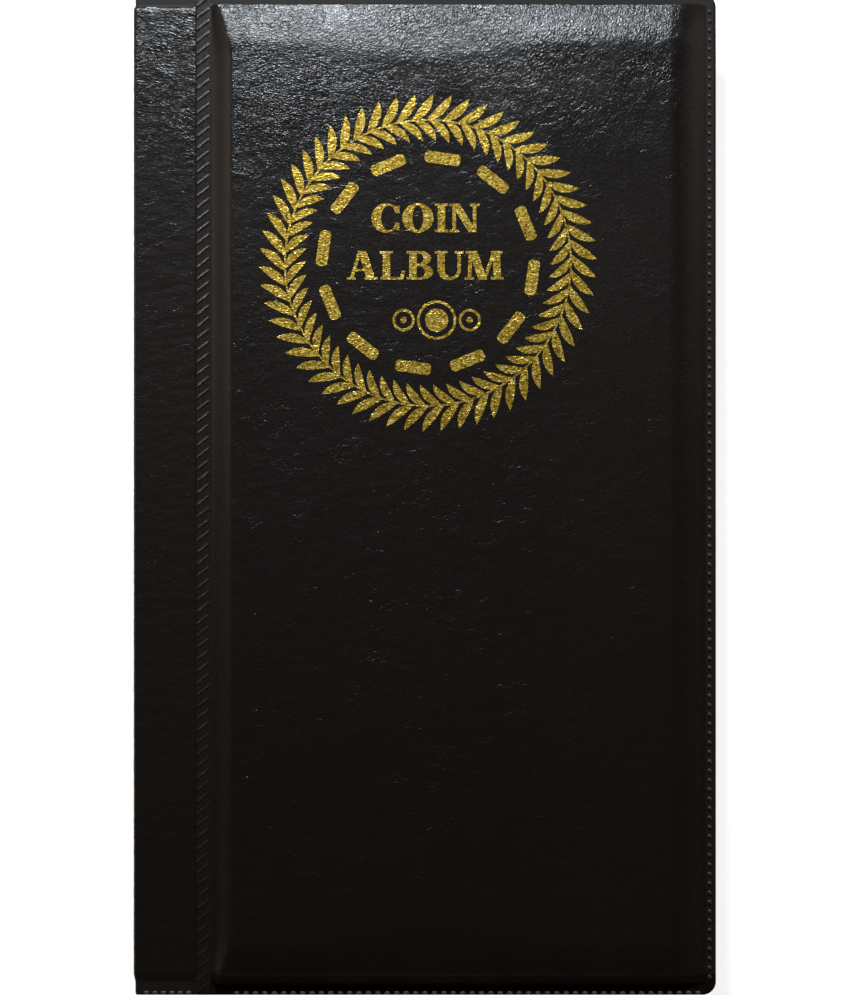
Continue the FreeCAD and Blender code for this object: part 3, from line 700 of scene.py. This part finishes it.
def hinge_channel(side, material):
    """The flexible channel between the rope weld and the panel."""
    xs = spaced(WELD_RIGHT, PANEL_LEFT, 0.25)
    ys = ends_finer(FOLD_REACH, 0.12, 1.2)
    channel = closed_sheet(side + "_channel", side, xs, ys, COVER_SHAPES[side], web_low.z, material,
                           grain=grain_share)
    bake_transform(channel)
    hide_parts(side + "_hinge_web")


def spine_bend(middle, first_angle):
    """A quarter round at the spine's edge, without its two ends."""
    bend = []
    for index in range(1, ROUND_STEPS):
        turn = math.radians(first_angle + 90 * index / ROUND_STEPS)
        cos, sin = math.cos(turn), math.sin(turn)
        x = SPINE_LEFT + WRAP_ROUND * (1 + cos)
        bend.append((x, middle + WRAP_ROUND * sin, cos, sin, BEND_WRINKLES))
    return bend


def wrap_section():
    """The spine wrap's section from the front strip, over the spine, to the back strip.

    Each entry is a place, the outward normal and how much of the strip's relief it takes.
    """
    low, high = THICKNESS - STRIP_TOP, STRIP_TOP
    low_middle, high_middle = low + WRAP_ROUND, high - WRAP_ROUND
    strip = spaced(SPINE_LEFT + WRAP_ROUND, WELD_LEFT, 0.6)
    spine = spaced(low_middle, high_middle, 0.6)
    section = [(x, high, 0.0, 1.0, 1.0) for x in reversed(strip)]
    section += spine_bend(high_middle, 90)
    section += [(SPINE_LEFT, z, -1.0, 0.0, BEND_WRINKLES) for z in reversed(spine)]
    section += spine_bend(low_middle, 180)
    section += [(x, low, 0.0, -1.0, 1.0) for x in strip]
    return section


def spine_wrap(material):
    """The outer vinyl of both plain strips and the spine, wrinkled across."""
    section = wrap_section()
    ys = ends_finer(3.0, 0.2, 0.6)
    columns, rows = len(section), len(ys)
    outer, inner, shares = [], [], []
    for y in ys:
        end = soft_step((HALF_HEIGHT - STRIP_RIM - abs(y)) / (HEAD_FADE if y > 0 else TAIL_FADE))
        lip = STRIP_LIP * (1 - ease((HALF_HEIGHT - abs(y)) / ROLL_REACH))
        for x, z, across, up, share in section:
            relief = strip_relief(x + z, y) * share * end - STRIP_RIM_DEPTH * (1 - end) - lip
            shares.append((2 * end - 1) * (STRIP_GRAIN * wrinkling(x, y) if end > 0.5 else 1))
            outer.append((x + across * relief, y, z + up * relief))
            inner.append((x - across * WRAP_WALL, y, z - up * WRAP_WALL))
    vertices = outer + inner
    count = len(outer)
    faces = grid_quads(columns, rows, 0, flip=True) + grid_quads(columns, rows, count)
    loop = rim_loop(columns, rows)
    for index, here in enumerate(loop):
        there = loop[(index + 1) % len(loop)]
        faces.append((here, there, count + there, count + here))
    wrap = new_object("spine_wrap", vertices, faces, material)
    mark_grain(wrap, shares + [0.0] * count)
    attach(wrap, "binding")
    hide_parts("spine_wrap_skin")


def add_stitch(form, x, y, z, size):
    """One embossed stitch: a low, round-ended bead."""
    ball = bmesh.ops.create_icosphere(form, subdivisions=1, radius=0.5)
    for vertex in ball["verts"]:
        across, along, up = [share * length for share, length in zip(vertex.co, size)]
        vertex.co = Vector((x + across, y + along, z + up))


def stitches_across(form, side, start, end, y, height):
    """A row of stitches along the head or the tail."""
    for x in spaced(start, end, STITCH_PITCH):
        add_stitch(form, x, y, facing(side, height), (STITCH_LENGTH, STITCH_WIDTH, STITCH_HEIGHT))


def stitches_along(form, side, start, end, x, height):
    """A row of broader stitches along the fore-edge."""
    for y in spaced(start, end, STITCH_PITCH):
        add_stitch(form, x, y, facing(side, height), (FORE_STITCH_WIDTH, STITCH_LENGTH, STITCH_HEIGHT))


def panel_stitches(form, side, y):
    """A row along a panel's head or tail."""
    stitches_across(form, side, PANEL_LEFT + 2, PANEL_RIGHT - 4, y, RIM_TOP)


def strip_stitches(form, side, y):
    """A row along a binding strip's head or tail."""
    height = STRIP_TOP - STRIP_RIM_DEPTH
    stitches_across(form, side, SPINE_LEFT + 3, WELD_LEFT - 1.5, y, height)


def stitched_edges(side, painted_glint, painted_tail_light):
    """The stitched-look weld round a panel and its binding strip; its stitches are painted lighter as a
    painted highlight, and much lighter along the tail as painted light from the tail side.
    """
    head = HALF_HEIGHT - END_STITCH_INSET
    form = bmesh.new()
    panel_stitches(form, side, head)
    fore_edge = PANEL_RIGHT - FORE_STITCH_INSET
    stitches_along(form, side, -HALF_HEIGHT + 4, HALF_HEIGHT - 4, fore_edge, RIM_TOP)
    finish_stitches(form, side + "_rim_stitches", side + "_cover", painted_glint)
    form = bmesh.new()
    strip_stitches(form, side, head)
    finish_stitches(form, side + "_strip_stitches", "binding", painted_glint)
    form = bmesh.new()
    panel_stitches(form, side, -head)
    finish_stitches(form, side + "_tail_stitches", side + "_cover", painted_tail_light)
    form = bmesh.new()
    strip_stitches(form, side, -head)
    finish_stitches(form, side + "_strip_tail_stitches", "binding", painted_tail_light)


def object_of(form, name, material):
    """Turn bmesh work, in metres, into an object."""
    mesh = bpy.data.meshes.new(name)
    form.to_mesh(mesh)
    form.free()
    mesh.materials.append(material)
    piece = bpy.data.objects.new(name, mesh)
    bpy.context.scene.collection.objects.link(piece)
    return piece


def finish_stitches(form, name, body, material):
    """Turn stitches, in millimetres, into a smooth piece on a body."""
    bmesh.ops.scale(form, vec=(METRE,) * 3, verts=form.verts)
    for face in form.faces:
        face.smooth = True
    piece = object_of(form, name, material)
    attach(piece, body)


def cut_along(form, axis, low, high):
    """Cut a flat mesh into strips between two places in metres, so that it can follow a curve."""
    normal = [0, 0, 0]
    normal[axis] = 1
    place = low + FOIL_STEP
    while place < high:
        plane = [0, 0, 0]
        plane[axis] = place
        geometry = form.verts[:] + form.edges[:] + form.faces[:]
        bmesh.ops.bisect_plane(form, geom=geometry, dist=1e-7, plane_co=plane, plane_no=normal)
        place += FOIL_STEP


def drape_foil(node, material):
    """Lay a flat foil node over the panel's crown."""
    form = bmesh.new()
    form.from_mesh(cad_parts[node].data)
    bmesh.ops.remove_doubles(form, verts=form.verts, dist=1e-6)
    low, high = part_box(node)
    cut_along(form, 0, low.x, high.x)
    cut_along(form, 1, low.y, high.y)
    middle = (low.z + high.z) / 2
    for vertex in form.verts:
        height = cover_height(vertex.co.x / METRE, vertex.co.y / METRE)
        lift = FOIL_HALF if vertex.co.z > middle else -FOIL_HALF
        vertex.co.z = (height + lift) * METRE
    piece = object_of(form, node + "_draped", material)
    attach(piece, "front_cover")
    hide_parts(node)


def leaf_sheet(leaf, material):
    """A leaf's back film from the binding to the fore-edge, with closer-set vertices at its margin."""
    low, high = box_mm(leaf + "_film")
    bend_end = WELD_RIGHT + LEAF_BEND
    bend = spaced(WELD_RIGHT, bend_end, 0.4)
    margin = spaced(bend_end, low.x, 1.2)
    page = spaced(low.x, high.x, 4.0)
    ys = spaced(low.y, high.y, 6.0)
    phase = float(leaf[-2:])

    def film_height(x, y):
        return high.z + LEAF_WAVE * noise.noise(Vector((x / 30, y / 40, phase)))

    sheet = closed_sheet(leaf + "_sheet", "front", bend[:-1] + margin[:-1] + page, ys, film_height,
                         low.z, material, corner=LEAF_CORNER)
    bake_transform(sheet)
    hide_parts(leaf + "_film")
    if leaf == LEAVES[0]:
        # One CAD node holds the margins of all the leaves
        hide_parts("leaf_fold_margins")


def dress(material, *nodes):
    """Give carried-over CAD nodes a finished material."""
    for node in nodes:
        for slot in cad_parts[node].material_slots:
            slot.material = material


# ----------------------------------------------------------- light and camera

def area_light(name, place, target, size, power, colour):
    """A soft rectangular light aimed at a point."""
    data = bpy.data.lights.new(name, "AREA")
    data.shape = "RECTANGLE"
    data.size, data.size_y = size
    data.energy = power
    data.color = colour
    lamp = bpy.data.objects.new(name, data)
    lamp.location = place
    aim = Vector(target) - Vector(place)
    lamp.rotation_euler = aim.to_track_quat("-Z", "Y").to_euler()
    bpy.context.scene.collection.objects.link(lamp)


def studio():
    """Pale floor, two small windows beyond the head, a warm fill each side and a dim surround."""
    mesh = bpy.data.meshes.new("floor")
    reach = FLOOR_REACH
    corners = [(-reach, -reach, 0), (reach, -reach, 0), (reach, reach, 0), (-reach, reach, 0)]
    mesh.from_pydata(corners, [], [(0, 1, 2, 3)])
    mesh.materials.append(pale_floor())
    floor = bpy.data.objects.new("floor", mesh)
    floor.location.z = -FLOOR_GAP
    bpy.context.scene.collection.objects.link(floor)
    area_light("head_window", place=(-0.036, 0.325, 0.315), target=(-0.008, 0.10, 0.02),
               size=(0.08, 0.09), power=2.05, colour=(0.86, 0.93, 1.0))
    area_light("slant_window", place=(-0.214, 0.265, 0.37), target=(-0.045, 0.05, 0.02),
               size=(0.05, 0.05), power=0.26, colour=(0.95, 0.95, 0.95))
    area_light("left_fill", place=(-0.45, 0.15, 0.23), target=(-0.05, 0.05, 0.02),
               size=(0.25, 0.2), power=0.14, colour=(1.0, 0.90, 0.80))
    area_light("right_fill", place=(0.45, 0.22, 0.25), target=(0.06, 0.06, 0.02),
               size=(0.25, 0.2), power=0.085, colour=(1.0, 0.88, 0.76))
    world = bpy.data.worlds.new("surround")
    world.use_nodes = True
    background = world.node_tree.nodes["Background"]
    background.inputs["Color"].default_value = (0.040, 0.031, 0.024, 1)
    bpy.context.scene.world = world
    bpy.context.scene.view_settings.view_transform = "Standard"


def camera():
    """Straight above the cover, as far back as the near-parallel view needs."""
    data = bpy.data.cameras.new("camera")
    distance = CAMERA_HEIGHT - RIM_TOP * METRE
    data.lens = data.sensor_width * distance / VIEW_HEIGHT
    viewer = bpy.data.objects.new("camera", data)
    viewer.location = (*VIEW_CENTRE, CAMERA_HEIGHT)
    bpy.context.scene.collection.objects.link(viewer)
    bpy.context.scene.camera = viewer


# -------------------------------------------------------------------- assembly

grained = vinyl("grained_vinyl")
strip_grain = vinyl("strip_vinyl", pull=1.8)
# Stitch colour lightened threefold: a painted highlight on the beads
painted_glint_stitch_vinyl = vinyl("painted_glint_stitch_vinyl", pale=3.0)
# Tail stitch colour lightened elevenfold: painted light from the tail side
painted_tail_light_vinyl = vinyl("painted_tail_light_vinyl", pale=11.0)
gold = gold_foil()
film = clear_film("leaf_film", alpha=0.30, frost=0.10)
frosted = clear_film("weld_film", alpha=0.60, frost=0.35)

camera()
studio()
for cover in ("front", "back"):
    padded_panel(cover, grained)
    rope_weld(cover, grained)
    hinge_channel(cover, grained)
    stitched_edges(cover, painted_glint_stitch_vinyl, painted_tail_light_vinyl)
spine_wrap(strip_grain)
for foil in ("foil_wreath", "foil_dashes", "foil_title", "foil_emblem"):
    drape_foil(foil, gold)
for leaf_name in LEAVES:
    leaf_sheet(leaf_name, film)
    dress(film, leaf_name + "_pockets")
    dress(frosted, leaf_name + "_welds")
dress(film, "leaf_stubs")
dress(lining_vinyl(), "front_lining", "back_lining", "binding_lining")
dress(grey_board(), "front_board", "back_board", "spine_board", "front_strip_board", "back_strip_board",
      "binding_spacers", "binding_shim")
dress(plated_steel(), "binding_posts", "post_caps")
